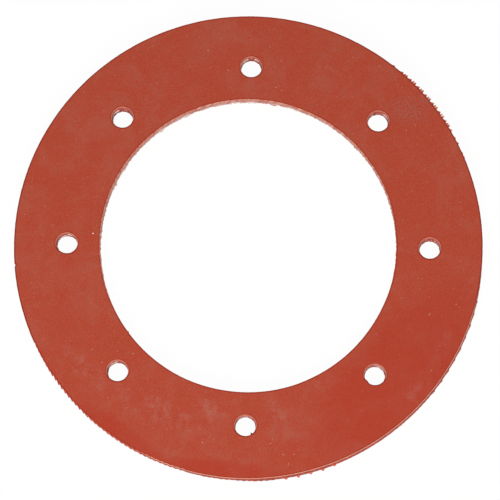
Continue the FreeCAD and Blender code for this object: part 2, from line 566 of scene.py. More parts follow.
@dataclass
class CutWall:
    """A wall cut round a circle, from the edge of the bottom face to the edge of the top face.

    Attributes:
        centre: of the circle, on the bottom face.
        radius: of the circle.
        segments: round the circle.
        air: 1 where the air is outside the circle, and -1 where it is inside.
        thickness: of the sheet.
        levels: heights of the rows between the two worn edges.
        top_arris: the worn edge at the top face.
        foot_arris: the worn edge at the bottom face.
        surface: what the wall between them is.
        tearing: the grain that the cut left.
        marks: everything else that the cut left.
        crumbs: the crumbs that stand on it.
        bands: where it is painted paler or darker, mostly as painted shade and painted highlights.
        contrast: of the streaks' tones.
    """

    centre: Vector
    radius: float
    segments: int
    air: int
    thickness: float
    levels: tuple[float, ...]
    top_arris: Arris
    foot_arris: Arris
    surface: Surface
    tearing: Tearing
    marks: tuple[Mark, ...] = ()
    crumbs: tuple[Crumb, ...] = ()
    bands: tuple[PaintedShadeAndPallorBand, ...] = ()
    contrast: float = 0.3
    rows: list[Row] = field(init=False)

    def __post_init__(self) -> None:
        """Works out the rows, from the bottom face up."""
        foot = [Row(0.0, away, inside, self.foot_arris, Surface.WORN_ARRIS)
                for inside, away in self.foot_arris.steps()]
        wall = [Row(height, 0.0, 0.0, None, self.surface) for height in self.levels]
        top = [Row(self.thickness, -away, inside, self.top_arris, Surface.WORN_ARRIS)
               for inside, away in reversed(self.top_arris.steps())]
        top[0] = replace(top[0], surface=self.surface)
        # The line starts a little off the edge, so that the edge keeps its own tone.
        line = [replace(top[-1], inset=inset) for inset in (0.1 * LINE_WIDTH, LINE_WIDTH)]
        self.rows = foot + wall + top + line

    def spot(self, vert: BMVert) -> Spot:
        """Finds where on the wall a vertex lies.

        Args:
            vert: the vertex.

        Returns:
            Its place.
        """
        reach = vert.co - self.centre
        angle = math.degrees(math.atan2(reach.y, reach.x))
        return Spot(angle, self.radius, vert.co.z, self.thickness)

    def place_row(self, verts: list[BMVert], row: Row, layers: dict[str, Any]) -> None:
        """Moves one row to its height and out to the cut's marks.

        Args:
            verts: the row's vertices.
            row: where they go.
            layers: the vertex layers, which keep how torn a spot is, together with its painted shade and
                highlights, and how far it stands out as a crumb.
        """
        for vert in verts:
            vert.co.z = row.height
            spot = self.spot(vert)
            round_off = row.edge.radius(spot) if row.edge else 0.0
            room = self.thickness - self.top_arris.radius(spot)
            squeeze = 1.0 if row.edge else room / (self.thickness - self.top_arris.crisp)
            vert.co.z = row.height * squeeze + row.lift * round_off
            spot = self.spot(vert)
            crumb = max((crumb.proud(spot) for crumb in self.crumbs), default=0.0)
            proud = self.tearing.proud(spot) + sum(mark.proud(spot) for mark in self.marks) + crumb
            reach = self.radius + self.air * (proud - row.inside * round_off - row.inset)
            turn = math.radians(spot.angle)
            vert.co.x = self.centre.x + reach * math.cos(turn)
            vert.co.y = self.centre.y + reach * math.sin(turn)
            pale = sum(crumb.paleness(spot) for crumb in self.crumbs)
            vert[layers["tear_and_painted_light"]] = row.edge.line if row.inset else pale or self.paleness(spot, row.edge)
            vert[layers["crumb"]] = crumb

    def paleness(self, spot: Spot, edge: Arris | None) -> float:
        """How pale a spot is, from about -0.3 to 1: torn streaks, worn edges and painted highlights are pale,
        and painted shade is dark.

        Args:
            spot: the place.
            edge: the edge that it belongs to, if any.

        Returns:
            The value for the vertex layer of torn streaks and painted light.
        """
        streak = self.tearing.streak(spot)
        if edge:
            return edge.paleness(spot, streak)
        return PLAIN_TONE + self.contrast * streak + sum(band.paleness(spot) for band in self.bands)

    def build(self, mesh: BMesh) -> None:
        """Adds the wall to a mesh, open at both faces.

        Args:
            mesh: takes the rows and their strips of faces.
        """
        layers = {name: mesh.verts.layers.float[name] for name in ("tear_and_painted_light", "crumb")}
        ring = bmesh.ops.create_circle(
            mesh, cap_ends=False, radius=self.radius, segments=self.segments)["verts"]
        bmesh.ops.translate(mesh, vec=self.centre, verts=ring)
        edges = list({edge for vert in ring for edge in vert.link_edges})
        self.place_row(ring, self.rows[0], layers)
        for row in self.rows[1:]:
            grown = bmesh.ops.extrude_edge_only(mesh, edges=edges)["geom"]
            ring = [item for item in grown if isinstance(item, BMVert)]
            fresh = set(ring)
            edges = [item for item in grown if isinstance(item, BMEdge) and fresh.issuperset(item.verts)]
            self.place_row(ring, row, layers)
            for face in (item for item in grown if isinstance(item, BMFace)):
                self.dress_face(face, row.surface, mesh.loops.layers.uv["wall"], layers["crumb"])

    def dress_face(self, face: BMFace, surface: Surface, place: Any, crumb: Any) -> None:
        """Gives a strip's face its surface, its smoothness and its place along the wall.

        Args:
            face: the face.
            surface: what it is, unless it stands on a crumb.
            place: the loop layer for the place along the wall and up it.
            crumb: the vertex layer that tells how far a crumb stands out.
        """
        crumby = max(vert[crumb] for vert in face.verts) > CRUMB_REACH
        face.material_index = (Surface.TORN_CRUMB if crumby else surface).value
        face.smooth = not crumby
        middle = face.calc_center_median() - self.centre
        about = math.degrees(math.atan2(middle.y, middle.x))
        for loop in face.loops:
            spot = self.spot(loop.vert)
            run = math.radians(about) * self.radius + spot.along(about)
            loop[place].uv = (run * MM, spot.height * MM)


@dataclass
class CutSheet:
    """The gasket: a rim, a bore and a circle of bolt holes, all cut through one flat sheet.

    Attributes:
        rim_radius: of the outside.
        thickness: of the sheet.
        bore_radius: of the large hole.
        bolt_circle_radius: out to the middles of the bolt holes.
        bolt_hole_radius: of each.
        bolt_hole_count: how many there are.
        rim_segments: round the rim.
        bore_segments: round the bore.
        hole_segments: round a bolt hole.
        grain_room: how far inside the outside the rim's wall lies, to leave room for its torn grain.
        tooth_pitch: of the cutter: from one two-pointed crumb to the next, and twice from bite to bite.
        crumb_start: angle of the first crumb.
        crumb_drop: from the top face down to the crumbs.
        crumb_depth: how far they reach down the wall.
        bite_start: angle of the first bite.
        bite_length: of a bite's slope.
        nub_start: angle of the first of the long nubs at the foot.
        nub_pitch: nub to nub, and stub to stub.
        nub_height: of the nubs.
        stub_start: angle of the first of the short stubs at the foot.
        stub_height: of the stubs.
        bump_start: angle of the first of the low bumps at the foot.
        bump_pitch: bump to bump.
        bump_height: of the bumps.
        nick_angle: where the rim is nicked.
        glints: angles where the foot of the bore's wall is painted pale, as painted highlights.
        rim_edge: the top edge of the rim.
        bore_edge: the top edge of the bore.
        hole_edge: the top edge of a bolt hole.
        foot_edge: the bottom edge of them all.
    """

    rim_radius: float
    thickness: float
    bore_radius: float
    bolt_circle_radius: float
    bolt_hole_radius: float
    bolt_hole_count: int
    rim_segments: int = 2160
    bore_segments: int = 1440
    hole_segments: int = 96
    grain_room: float = 0.05
    tooth_pitch: float = 3.61
    crumb_start: float = 32.5
    crumb_drop: float = 0.25
    crumb_depth: float = 2.0
    bite_start: float = 205.0
    bite_length: float = 1.6
    nub_start: float = -36.9
    nub_pitch: float = 4.15
    nub_height: float = 2.4
    stub_start: float = -79.9
    stub_height: float = 1.2
    bump_start: float = -100.0
    bump_pitch: float = 1.9
    bump_height: float = 1.4
    nick_angle: float = 185.5
    glints: tuple[float, ...] = (58.0, 74.0, 90.0, 95.5, 116.0, 127.0, 150.0)
    # The worn stretches of the top edges are paler, partly from wear and partly as a painted highlight where
    # they face the lamp; their dark stretches are painted shade on the sides turned away from it.
    rim_edge: Arris = Arris(
        0.15, 0.22, 3, ((-112.0, -18.0, 8.0),), 0.5, 0.1, ((0.0, 62.0, 12.0), (130.0, 195.0, 15.0)), 0.35)
    bore_edge: Arris = Arris(0.15, 0.28, 3, ((20.0, 195.0, 15.0),), 0.42, 0.3)
    hole_edge: Arris = Arris(
        0.20, 0.30, 3, ((-5.0, 200.0, 25.0),), 0.36, 0.05, ((-150.0, -30.0, 20.0),), 0.35, 0.09)
    foot_edge: Arris = Arris(0.10, 0.10, 2)

    @classmethod
    def from_frame(cls, record: dict[str, Any]) -> "CutSheet":
        """Reads the sheet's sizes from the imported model.

        Args:
            record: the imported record, whose mounts give the bore and the bolt circle.

        Returns:
            The sheet, not yet built.
        """
        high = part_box(NODE)[1]
        dims = {mount["name"]: mount["dims"] for mount in record["mounts"]}
        return cls(
            rim_radius=high.x / MM,
            thickness=high.z / MM,
            bore_radius=dims["bore"]["r_mm"],
            bolt_circle_radius=dims["bolt_circle"]["pcd_mm"] / 2,
            bolt_hole_radius=dims["bolt_circle"]["hole_r_mm"],
            bolt_hole_count=dims["bolt_circle"]["count"],
        )

    def spread_levels(self, count: int) -> tuple[float, ...]:
        """Heights of rows spread evenly up a wall, clear of its worn edges."""
        low, high = 0.4, self.thickness - 0.5
        return tuple(low + (high - low) * index / (count - 1) for index in range(count))

    def crumbs(self) -> tuple[Crumb, ...]:
        """Works out everything that stands on the rim's wall with a flat side.

        Returns:
            The two-pointed and leaning crumbs of the upper right by turns, the strays beside them, and the
            stubs.
        """
        crown = ((-0.7, 0.0), (-0.55, 1.0), (-0.1, 0.55), (0.1, 0.55), (0.55, 1.0), (0.7, 0.0))
        leaning = ((-0.6, 0.0), (-0.45, 0.75), (0.6, 0.0))
        stub = ((-0.6, 0.0), (-0.25, 1.0), (0.25, 1.0), (0.6, 0.0))
        sizes = (0.85, 0.95, 1.0, 1.0, 1.0, 0.9, 0.75)
        # How pale each crumb's middle is: partly stretched rubber, partly a painted highlight.
        cores = (0.45, 0.9, 0.65, 0.55, 0.5, 0.6, 0.4)
        strays = ((52.5, 0.5), (31.15, 0.8), (29.0, 0.4), (27.5, 0.5), (24.85, 0.3), (23.7, 0.35))
        stubs = (0.5, 0.6, 0.5, 0.6, 0.4)
        leaning_pale, stray_pale, stub_pale = 0.3, 0.4, 0.35
        top, depth = self.thickness - self.crumb_drop, self.crumb_depth
        step = math.degrees(self.tooth_pitch / self.rim_radius)
        found = []
        for index, (size, core) in enumerate(zip(sizes, cores)):
            angle = self.crumb_start + step * index
            found.append(Crumb(angle, scaled(crown, size), top, depth, core))
            found.append(Crumb(angle + step / 2, scaled(leaning, size), top, depth, leaning_pale))
        for angle, size in strays:
            found.append(Crumb(angle, scaled(leaning, size), top, depth / 2, stray_pale))
        step = math.degrees(self.nub_pitch / self.rim_radius)
        for index, size in enumerate(stubs):
            angle = self.stub_start + step * index
            found.append(Crumb(angle, scaled(stub, size), self.stub_height, self.stub_height, stub_pale))
        return tuple(found)

    def rim_marks(self) -> tuple[Mark, ...]:
        """Works out what else the toothed cutter left on the rim.

        Returns:
            The bites, the nubs and bumps at the foot, the stretches out of line, and the nick.
        """
        early, deep, late = 0.22, 0.48, 0.3
        bites = (early,) * 7 + (deep,) * 9 + (late,) * 22
        nub = ((-2.2, 0.0), (0.0, 1.0), (0.05, 0.0))
        nubs = (0.27, 0.2, 0.25, 0.22, 0.28, 0.2, 0.26, 0.24, 0.18)
        bump = ((-0.75, 0.0), (-0.3, 1.0), (0.35, 0.8), (0.75, 0.0))
        bumps = (0.08, 0.1, 0.06, 0.12, 0.14, 0.08, 0.12, 0.16, 0.1, 0.18, 0.14, 0.12, 0.08)
        nick_width, nick_depth = 1.2, 0.5
        return (
            SawBites(self.bite_start, self.tooth_pitch / 2, self.bite_length, bites),
            FootRow(self.nub_start, self.nub_pitch, nub, nubs, self.nub_height),
            FootRow(self.bump_start, self.bump_pitch, bump, bumps, self.bump_height),
            Stretch(-84.0, -10.0, 10.0, -0.03, 0.26),
            Stretch(-42.0, -14.0, 8.0, 0.0, 0.06),
            Stretch(192.0, 222.0, 12.0, 0.1, 0.1),
            Stretch(-108.0, -20.0, 8.0, 0.1, 0.0),
            Dent(self.nick_angle, nick_width, -nick_depth, 0.0, self.thickness),
        )

    def rim(self) -> CutWall:
        """Works out the rim's wall.

        Returns:
            The wall, not yet built.
        """
        top = self.thickness - self.crumb_drop
        low = top - self.crumb_depth
        # Two rows this close together make the flat side of a crumb or a stub.
        over = 0.04
        levels = (
            0.6, self.stub_height, self.stub_height + over, 1.8, self.nub_height, low - over, low, low + 0.6,
            top - 0.7, top, top + over,
        )
        # Painted shade darkens the upper half at the lower right, among the nubs and stubs, and the foot at
        # the bottom, among the bumps; a painted highlight makes the foot paler at the lower right. A stretch
        # at the lower left is a little paler.
        bands = (
            PaintedShadeAndPallorBand(-100.0, -8.0, 10.0, 0.5, 1.2, -0.25), PaintedShadeAndPallorBand(-60.0, -8.0, 8.0, -0.2, 0.3, 0.15),
            PaintedShadeAndPallorBand(-115.0, -66.0, 5.0, -0.2, 0.35, -0.25), PaintedShadeAndPallorBand(229.0, 240.0, 4.0, -0.2, 1.2, 0.05),
        )
        return CutWall(
            Vector((0.0, 0.0, 0.0)), self.rim_radius - self.grain_room, self.rim_segments, 1, self.thickness,
            levels, self.rim_edge, self.foot_edge, Surface.RIM_WALL,
            Tearing(size=1.1, lean=-0.3, squeeze=5.0, top_reach=0.04, foot_reach=0.08, seed=3.0),
            self.rim_marks(), self.crumbs(), bands,
        )

    def bore(self) -> CutWall:
        """Works out the bore's wall.

        Returns:
            The wall, not yet built.
        """
        # The lower half is a little paler all round, and the glints are painted highlights along the foot.
        glints = (PaintedShadeAndPallorBand(angle - 1.0, angle + 1.0, 1.5, 0.0, 0.4, 0.45) for angle in self.glints)
        return CutWall(
            Vector((0.0, 0.0, 0.0)), self.bore_radius, self.bore_segments, -1, self.thickness,
            self.spread_levels(10), self.bore_edge, self.foot_edge, Surface.BORE_WALL,
            Tearing(size=0.9, lean=-0.3, squeeze=6.0, top_reach=0.02, foot_reach=0.3, seed=11.0),
            self.bore_marks(), bands=(PaintedShadeAndPallorBand(-180.0, 180.0, 1.0, -0.2, 0.5, 0.15), *glints), contrast=0.35,
        )

    def bore_marks(self) -> tuple[Mark, ...]:
        """Works out what the cutter left in the bore.

        Returns:
            A wall that runs in and out, a burr, and flakes that hang from the foot.
        """
        flake_height = 1.0
        flakes = (
            (44.8, 1.2, 0.4), (81.0, 2.4, 0.4), (115.6, 3.0, 0.35), (127.0, 2.4, 0.5), (148.0, 1.5, 0.35),
            (155.0, 1.2, 0.4),
        )
        return (
            Stretch(-180.0, 180.0, 1.0, 0.08, 0.08),
            Stretch(262.0, 326.0, 20.0, 0.12, 0.1),
            Stretch(15.0, 140.0, 20.0, 0.0, -0.1),
            Stretch(85.0, 165.0, 20.0, -0.2, 0.0),
            Stretch(300.0, 335.0, 12.0, 0.08, 0.08),
            Dent(216.8, 0.8, 0.3, 0.0, self.thickness),
            *(Dent(angle, width, reach, 0.0, flake_height) for angle, width, reach in flakes),
        )

    def bolt_holes(self) -> list[CutWall]:
        """Works out the walls of the bolt holes.

        Returns:
            The walls, anticlockwise from the one on +X, not yet built.
        """
        walls = []
        for index in range(self.bolt_hole_count):
            turn = math.tau * index / self.bolt_hole_count
            centre = Vector((math.cos(turn), math.sin(turn), 0.0)) * self.bolt_circle_radius
            seed = 20.0 + 7.0 * index
            walls.append(CutWall(
                centre, self.bolt_hole_radius, self.hole_segments, -1, self.thickness,
                self.spread_levels(9), self.hole_edge, self.foot_edge, Surface.HOLE_WALL,
                Tearing(size=0.8, lean=0.0, squeeze=3.0, top_reach=0.02, foot_reach=0.14, seed=seed),
                self.hole_marks(index), bands=self.hole_bands(index),
            ))
        return walls

    def hole_marks(self, index: int) -> tuple[Mark, ...]:
        """What the punch left in one bolt hole: a foot narrower than the top, and pushed to one side.

        Args:
            index: of the hole, anticlockwise from +X.

        Returns:
            The marks.
        """
        # The side to which the foot is pushed, and how far.
        side, push = ((0.0, 0.0), (0.0, 0.1), (90.0, 0.1), (135.0, 0.15),
                      (180.0, 0.15), (180.0, 0.15), (270.0, 0.1), (0.0, 0.1))[index]
        # Rubber left on: hang at the upper side's foot, lip at its top edge, and sill at the lower side.
        hang = (0.17, 0.17, 0.0, 0.25, 0.17, -0.03, -0.03, -0.03)[index]
        lip = (0.0, 0.05, -0.05, 0.0, 0.18, 0.0, 0.05, 0.05)[index]
        sill = (0.14, 0.25, 0.37, 0.24, 0.18, 0.2, 0.18, 0.15)[index]
        burrs = {6: Dent(-51.0, 0.7, 0.8, 3.9, 4.6), 7: Dent(219.0, 2.0, 0.3, 3.4, self.thickness)}
        return (
            Stretch(-180.0, 180.0, 1.0, 0.0, 0.2),
            Wander(side, 0.0, push),
            Stretch(90.0, 90.0, 90.0, lip, hang),
            Stretch(-90.0, -90.0, 90.0, sill, 0.5 * sill),
            *(burr for number, burr in burrs.items() if number == index),
        )

    def hole_bands(self, index: int) -> tuple[PaintedShadeAndPallorBand, ...]:
        """The pale ridge on the upper wall of one bolt hole, partly torn rubber and partly painted glints,
        between bands of painted shade.

        Args:
            index: of the hole, anticlockwise from +X.

        Returns:
            The bands.
        """
        ridges = (
            ((20.0, 60.0, 0.35, 0.3),),
            ((8.0, 55.0, 0.45, 0.7), (125.0, 172.0, 0.1, 1.1)),
            ((112.0, 158.0, 0.4, 1.3), (48.0, 66.0, 0.5, 1.0)),
            ((118.0, 172.0, 0.35, 0.9),),
            ((100.0, 168.0, 0.1, 1.1), (60.0, 84.0, 0.5, 0.7)),
            ((95.0, 150.0, 0.35, 0.6),),
            ((60.0, 130.0, 0.35, 0.5),),
            ((30.0, 90.0, 0.35, 0.6),),
        )[index]
        pale = tuple(PaintedShadeAndPallorBand(start, end, 8.0, low, low + 0.25, gain) for start, end, low, gain in ridges)
        # Painted shade at the foot all round, deeper at the foot of the upper side, and just below the top
        # edge; then the pale ridges.
        return (
            PaintedShadeAndPallorBand(-180.0, 180.0, 1.0, -0.2, 0.1, -0.1), PaintedShadeAndPallorBand(25.0, 110.0, 15.0, -0.2, 0.15, -0.4),
            PaintedShadeAndPallorBand(-180.0, 180.0, 1.0, 0.78, 1.2, -0.15), *pale,
        )

    def close_face(self, mesh: BMesh, top: bool) -> None:
        """Closes the top or the bottom between the rim, the bore and the bolt holes.

        Args:
            mesh: holds every wall.
            top: True for the top face.
        """
        half = self.thickness / 2
        edges = [edge for edge in mesh.edges if edge.is_boundary and (edge.verts[0].co.z > half) == top]
        normal = Vector((0.0, 0.0, 1.0 if top else -1.0))
        made = bmesh.ops.triangle_fill(mesh, use_beauty=True, use_dissolve=False, normal=normal, edges=edges)
        place = mesh.loops.layers.uv["wall"]
        for face in (item for item in made["geom"] if isinstance(item, BMFace)):
            face.material_index = Surface.PRESSED_FACE.value
            face.smooth = False
            for loop in face.loops:
                loop[place].uv = loop.vert.co.xy * MM

    def build(self, finishes: dict[Surface, "Finish"]) -> Object:
        """Makes the whole gasket as one closed mesh.

        Args:
            finishes: the finish of each kind of surface.

        Returns:
            The object, in metres, in place of its solid.
        """
        mesh = bmesh.new()
        mesh.verts.layers.float.new("tear_and_painted_light")
        mesh.verts.layers.float.new("crumb")
        mesh.loops.layers.uv.new("wall")
        for wall in (self.rim(), self.bore(), *self.bolt_holes()):
            wall.build(mesh)
        self.close_face(mesh, top=True)
        self.close_face(mesh, top=False)
        bmesh.ops.recalc_face_normals(mesh, faces=mesh.faces)
        bmesh.ops.scale(mesh, vec=Vector((MM, MM, MM)), verts=mesh.verts)
        data = bpy.data.meshes.new("gasket_sheet")
        mesh.to_mesh(data)
        open_edges = sum(not edge.is_manifold for edge in mesh.edges)
        log.info("gasket_sheet: %d faces, %d open edges", len(mesh.faces), open_edges)
        mesh.free()
        for surface in Surface:
            data.materials.append(finishes[surface].material())
        piece = add_object("gasket_sheet", data)
        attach(piece, "root")
        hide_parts(NODE)
        return piece


def add_node(tree: NodeTree, kind: str, inputs: dict[str | int, Any] | None = None, **settings: Any) -> Node:
    """Adds a node with its settings and links.

    Args:
        tree: takes the node.
        kind: the node's type.
        inputs: for each input by name or number, a value or the output that feeds it.
        settings: the node's own properties.

    Returns:
        The node.
    """
    node = tree.nodes.new(kind)
    for name, value in settings.items():
        setattr(node, name, value)
    for name, value in (inputs or {}).items():
        if isinstance(value, NodeSocket):
            tree.links.new(value, node.inputs[name])
        else:
            node.inputs[name].default_value = value
    return node


def empty_tree(owner: Material | bpy.types.World) -> NodeTree:
    """Turns on a material's or a world's nodes and clears them.

    Args:
        owner: the material or world.

    Returns:
        Its tree, without a node.
    """
    owner.use_nodes = True
    owner.node_tree.nodes.clear()
    return owner.node_tree


# Sockets of a colour ShaderNodeMix by number, because several of them share one name.
MIX_FACTOR, MIX_A, MIX_B, MIX_RESULT = 0, 6, 7, 2


@dataclass(frozen=True)
class Finish(ABC):
    """A finish of the rubber.

    Attributes:
        name: of the material.
        colour: the rubber itself.
        roughness: of the surface.
        specular: how strongly it mirrors.
    """

    name: str
    colour: str
    roughness: float
    specular: float

    def material(self) -> Material:
        """Makes the material.

        Returns:
            The material, with its nodes.
        """
        made = bpy.data.materials.new(self.name)
        tree = empty_tree(made)
        shader = add_node(tree, "ShaderNodeBsdfPrincipled", {
            "IOR": SILICONE_IOR, "Specular IOR Level": self.specular})
        self.dress(tree, shader)
        add_node(tree, "ShaderNodeOutputMaterial", {"Surface": shader.outputs["BSDF"]})
        made.diffuse_color = srgb(self.colour)
        return made

    @abstractmethod
    def dress(self, tree: NodeTree, shader: Node) -> None:
        """Adds the colour, roughness and bump that feed the shader.

        Args:
            tree: takes the nodes.
            shader: the material's shader.
        """


@dataclass(frozen=True)
class Blemish:
    """A mark on the top face: a speck of dust, a scratch, a patch of haze, or a broad darker patch.

    Attributes:
        x: of its middle.
        y: of its middle.
        length: along its own direction.
        width: across it.
        turn: degrees from +X to its own direction.
    """

    x: float
    y: float
    length: float
    width: float
    turn: float = 0.0


@dataclass(frozen=True)
class BlemishGroup:
    """Blemishes of one kind.

    Attributes:
        colour: in their middle.
        strength: how much of the rubber's colour they cover there.
        core: share of a blemish's size over which it is at full strength.
        grain: size of the speckles that it breaks up into, or 0 for none.
        dots: True where they are separate round dots.
        blemishes: the marks.
    """

    colour: str
    strength: float
    core: float
    grain: float
    blemishes: tuple[Blemish, ...]
    dots: bool = False


BLEMISH_GROUPS: tuple[BlemishGroup, ...] = (
    BlemishGroup("B8948A", 0.18, 0.0, 3.6, (
        Blemish(-27.0, -56.0, 46.0, 14.0, -24.0), Blemish(-53.0, -43.0, 34.0, 12.0, -52.0),
        Blemish(-12.0, -55.0, 24.0, 10.0, 0.0),
    )),
    # Broad darker, redder patches over the lower right and along the bottom of the face; on the right they
    # are partly painted shade.
    BlemishGroup("A82A14", 0.45, 0.45, 0.0, (
        Blemish(49.0, -43.0, 104.0, 42.0, 47.0), Blemish(-8.0, -75.0, 70.0, 9.0, -6.0),
        Blemish(-42.0, -63.0, 44.0, 10.0, -34.0),
    )),
    BlemishGroup("B8948A", 0.13, 0.0, 3.0, (
        Blemish(24.0, -47.0, 18.0, 6.0, 25.0), Blemish(11.0, -57.0, 22.0, 9.0, -60.0),
        Blemish(54.0, -49.0, 20.0, 8.0, 45.0), Blemish(65.0, -32.0, 18.0, 7.0, 70.0),
    )),
    BlemishGroup("827C7A", 0.8, 0.2, 0.6, (
        Blemish(52.5, 46.5, 20.0, 14.0, -10.0), Blemish(58.0, 50.0, 8.0, 6.0)), dots=True),
    BlemishGroup("D8C4B8", 0.32, 0.3, 0.0, (
        Blemish(42.6, 61.1, 0.6, 0.5), Blemish(48.9, 55.1, 0.5, 0.4), Blemish(54.7, 41.4, 0.5, 0.5),
        Blemish(51.8, 39.6, 0.6, 0.5), Blemish(68.9, -18.5, 0.9, 0.4, 5.0), Blemish(73.0, -25.5, 0.6, 0.6),
        Blemish(60.9, -40.7, 0.6, 0.5), Blemish(-50.9, -35.4, 0.7, 0.5), Blemish(-47.5, -39.6, 0.6, 0.5),
        Blemish(8.3, -65.7, 0.7, 0.5), Blemish(12.6, -69.3, 0.6, 0.6), Blemish(16.2, -69.2, 0.6, 0.6),
        Blemish(-14.4, 65.7, 0.6, 0.6), Blemish(-7.6, 59.0, 0.7, 0.5), Blemish(8.4, 53.5, 0.7, 0.6),
        Blemish(10.1, 52.5, 0.5, 0.5), Blemish(10.0, 62.4, 0.6, 0.5), Blemish(-14.1, -65.7, 0.8, 0.6),
        Blemish(-37.4, -36.5, 0.8, 0.6), Blemish(60.1, -22.0, 1.8, 0.35, 50.0),
        Blemish(14.4, -72.4, 1.2, 0.35, 95.0),
    )),
    BlemishGroup("F4EBE4", 0.9, 0.5, 0.0, (Blemish(-51.4, 3.4, 0.6, 0.5),)),
    BlemishGroup("D43A2C", 0.8, 0.5, 0.0, (Blemish(57.7, 14.8, 0.9, 0.7),)),
)


@dataclass(frozen=True)
class PressedFace(Finish):
    """The sheet's faces: silicone rubber cured between polished plates, satin, with talc haze and dust.

    Attributes:
        bloom_colour: of the paler flecks in the rubber.
        haze_colour: of the talc.
        dust_colour: of the dust.
        grain_tint: by which the finest grain multiplies the colour.
        mottle_size: of the flecks, drawn coarser than the real ones, which are too fine to show.
        grain_size: of the finest grain, drawn coarser in the same way.
        haze_size: of the clouds of talc.
        dust_spacing: speck to speck.
        gloss_size: of the grain that changes the gloss and the bump, drawn coarser in the same way.
    """

    bloom_colour: str
    haze_colour: str
    dust_colour: str
    grain_tint: str
    mottle_size: float = 0.35
    grain_size: float = 0.28
    haze_size: float = 11.0
    dust_spacing: float = 3.2
    gloss_size: float = 0.5

    def blend(self, tree: NodeTree, share: NodeSocket, under: Any, over: str) -> NodeSocket:
        """Lays one colour over another.

        Args:
            tree: takes the nodes.
            share: how much the upper colour covers.
            under: the lower colour, or the output that gives it.
            over: the upper colour, as it is written.

        Returns:
            The output with the blended colour.
        """
        return add_node(tree, "ShaderNodeMix", {
            MIX_FACTOR: share, MIX_A: under, MIX_B: srgb(over)}, data_type="RGBA").outputs[MIX_RESULT]

    def group_share(self, tree: NodeTree, place: NodeSocket, group: BlemishGroup) -> NodeSocket:
        """How much the marks of one group cover at each point.

        Args:
            tree: takes the nodes.
            place: the point, in the gasket's frame.
            group: the marks.

        Returns:
            The output with the share, from 0 to the group's strength.
        """
        nearest: NodeSocket | None = None
        for mark in group.blemishes:
            about = add_node(tree, "ShaderNodeMapping", {
                "Vector": place,
                "Location": (mark.x * MM, mark.y * MM, CAD_BOX[1][2]),
                "Rotation": (0.0, 0.0, math.radians(mark.turn)),
                "Scale": (mark.length / 2 * MM, mark.width / 2 * MM, MM),
            }, vector_type="TEXTURE")
            away = add_node(tree, "ShaderNodeVectorMath", {0: about.outputs["Vector"]}, operation="LENGTH")
            away = away.outputs["Value"]
            if nearest is not None:
                away = add_node(tree, "ShaderNodeMath", {0: nearest, 1: away}, operation="MINIMUM")
                away = away.outputs["Value"]
            nearest = away
        share = add_node(tree, "ShaderNodeMapRange", {
            "Value": nearest, "From Min": group.core, "From Max": 1.0,
            "To Min": group.strength, "To Max": 0.0,
        }, interpolation_type="SMOOTHSTEP").outputs["Result"]
        if not group.grain:
            return share
        # Round dots, each with a strength of its own, or else speckles over about half of each mark.
        if group.dots:
            cells = add_node(tree, "ShaderNodeTexVoronoi", {
                "Vector": place, "Scale": per_mm(group.grain)}, voronoi_dimensions="2D")
            dot = add_node(tree, "ShaderNodeMapRange", {
                "Value": cells.outputs["Distance"], "From Min": 0.1, "From Max": 0.4,
                "To Min": 1.0, "To Max": 0.0})
            faint = add_node(tree, "ShaderNodeMath", {
                0: dot.outputs["Result"], 1: cells.outputs["Color"]}, operation="MULTIPLY")
            return add_node(tree, "ShaderNodeMath", {
                0: share, 1: faint.outputs["Value"]}, operation="MULTIPLY").outputs["Value"]
        grain = add_node(tree, "ShaderNodeTexNoise", {
            "Vector": place, "Scale": per_mm(group.grain), "Detail": 3.0, "Roughness": 0.7})
        speckle = add_node(tree, "ShaderNodeMapRange", {
            "Value": grain.outputs["Fac"], "From Min": 0.46, "From Max": 0.66})
        return add_node(tree, "ShaderNodeMath", {
            0: share, 1: speckle.outputs["Result"]}, operation="MULTIPLY").outputs["Value"]

    def dress(self, tree: NodeTree, shader: Node) -> None:
        """See Finish."""
        place = add_node(tree, "ShaderNodeTexCoord").outputs["Object"]
        # Flecks of two reds, and a finer grain over them.
        mottle = add_node(tree, "ShaderNodeTexNoise", {
            "Vector": place, "Scale": per_mm(self.mottle_size), "Detail": 1.0, "Roughness": 0.6})
        mottle = add_node(tree, "ShaderNodeMapRange", {
            "Value": mottle.outputs["Fac"], "From Min": 0.33, "From Max": 0.67})
        colour = self.blend(tree, mottle.outputs["Result"], srgb(self.bloom_colour), self.colour)
        fine = add_node(tree, "ShaderNodeTexNoise", {
            "Vector": place, "Scale": per_mm(self.grain_size), "Detail": 0.0})
        fine = add_node(tree, "ShaderNodeMapRange", {
            "Value": fine.outputs["Fac"], "From Min": 0.3, "From Max": 0.7})
        colour = add_node(tree, "ShaderNodeMix", {
            MIX_FACTOR: fine.outputs["Result"], MIX_A: colour, MIX_B: srgb(self.grain_tint),
        }, data_type="RGBA", blend_type="MULTIPLY").outputs[MIX_RESULT]
        # Thin clouds of talc.
        cloud = add_node(tree, "ShaderNodeTexNoise", {
            "Vector": place, "Scale": per_mm(self.haze_size), "Detail": 5.0, "Roughness": 0.7,
            "Distortion": 0.5})
        cloud = add_node(tree, "ShaderNodeMapRange", {
            "Value": cloud.outputs["Fac"], "From Min": 0.46, "From Max": 0.75, "To Max": 0.18})
        colour = self.blend(tree, cloud.outputs["Result"], colour, self.haze_colour)
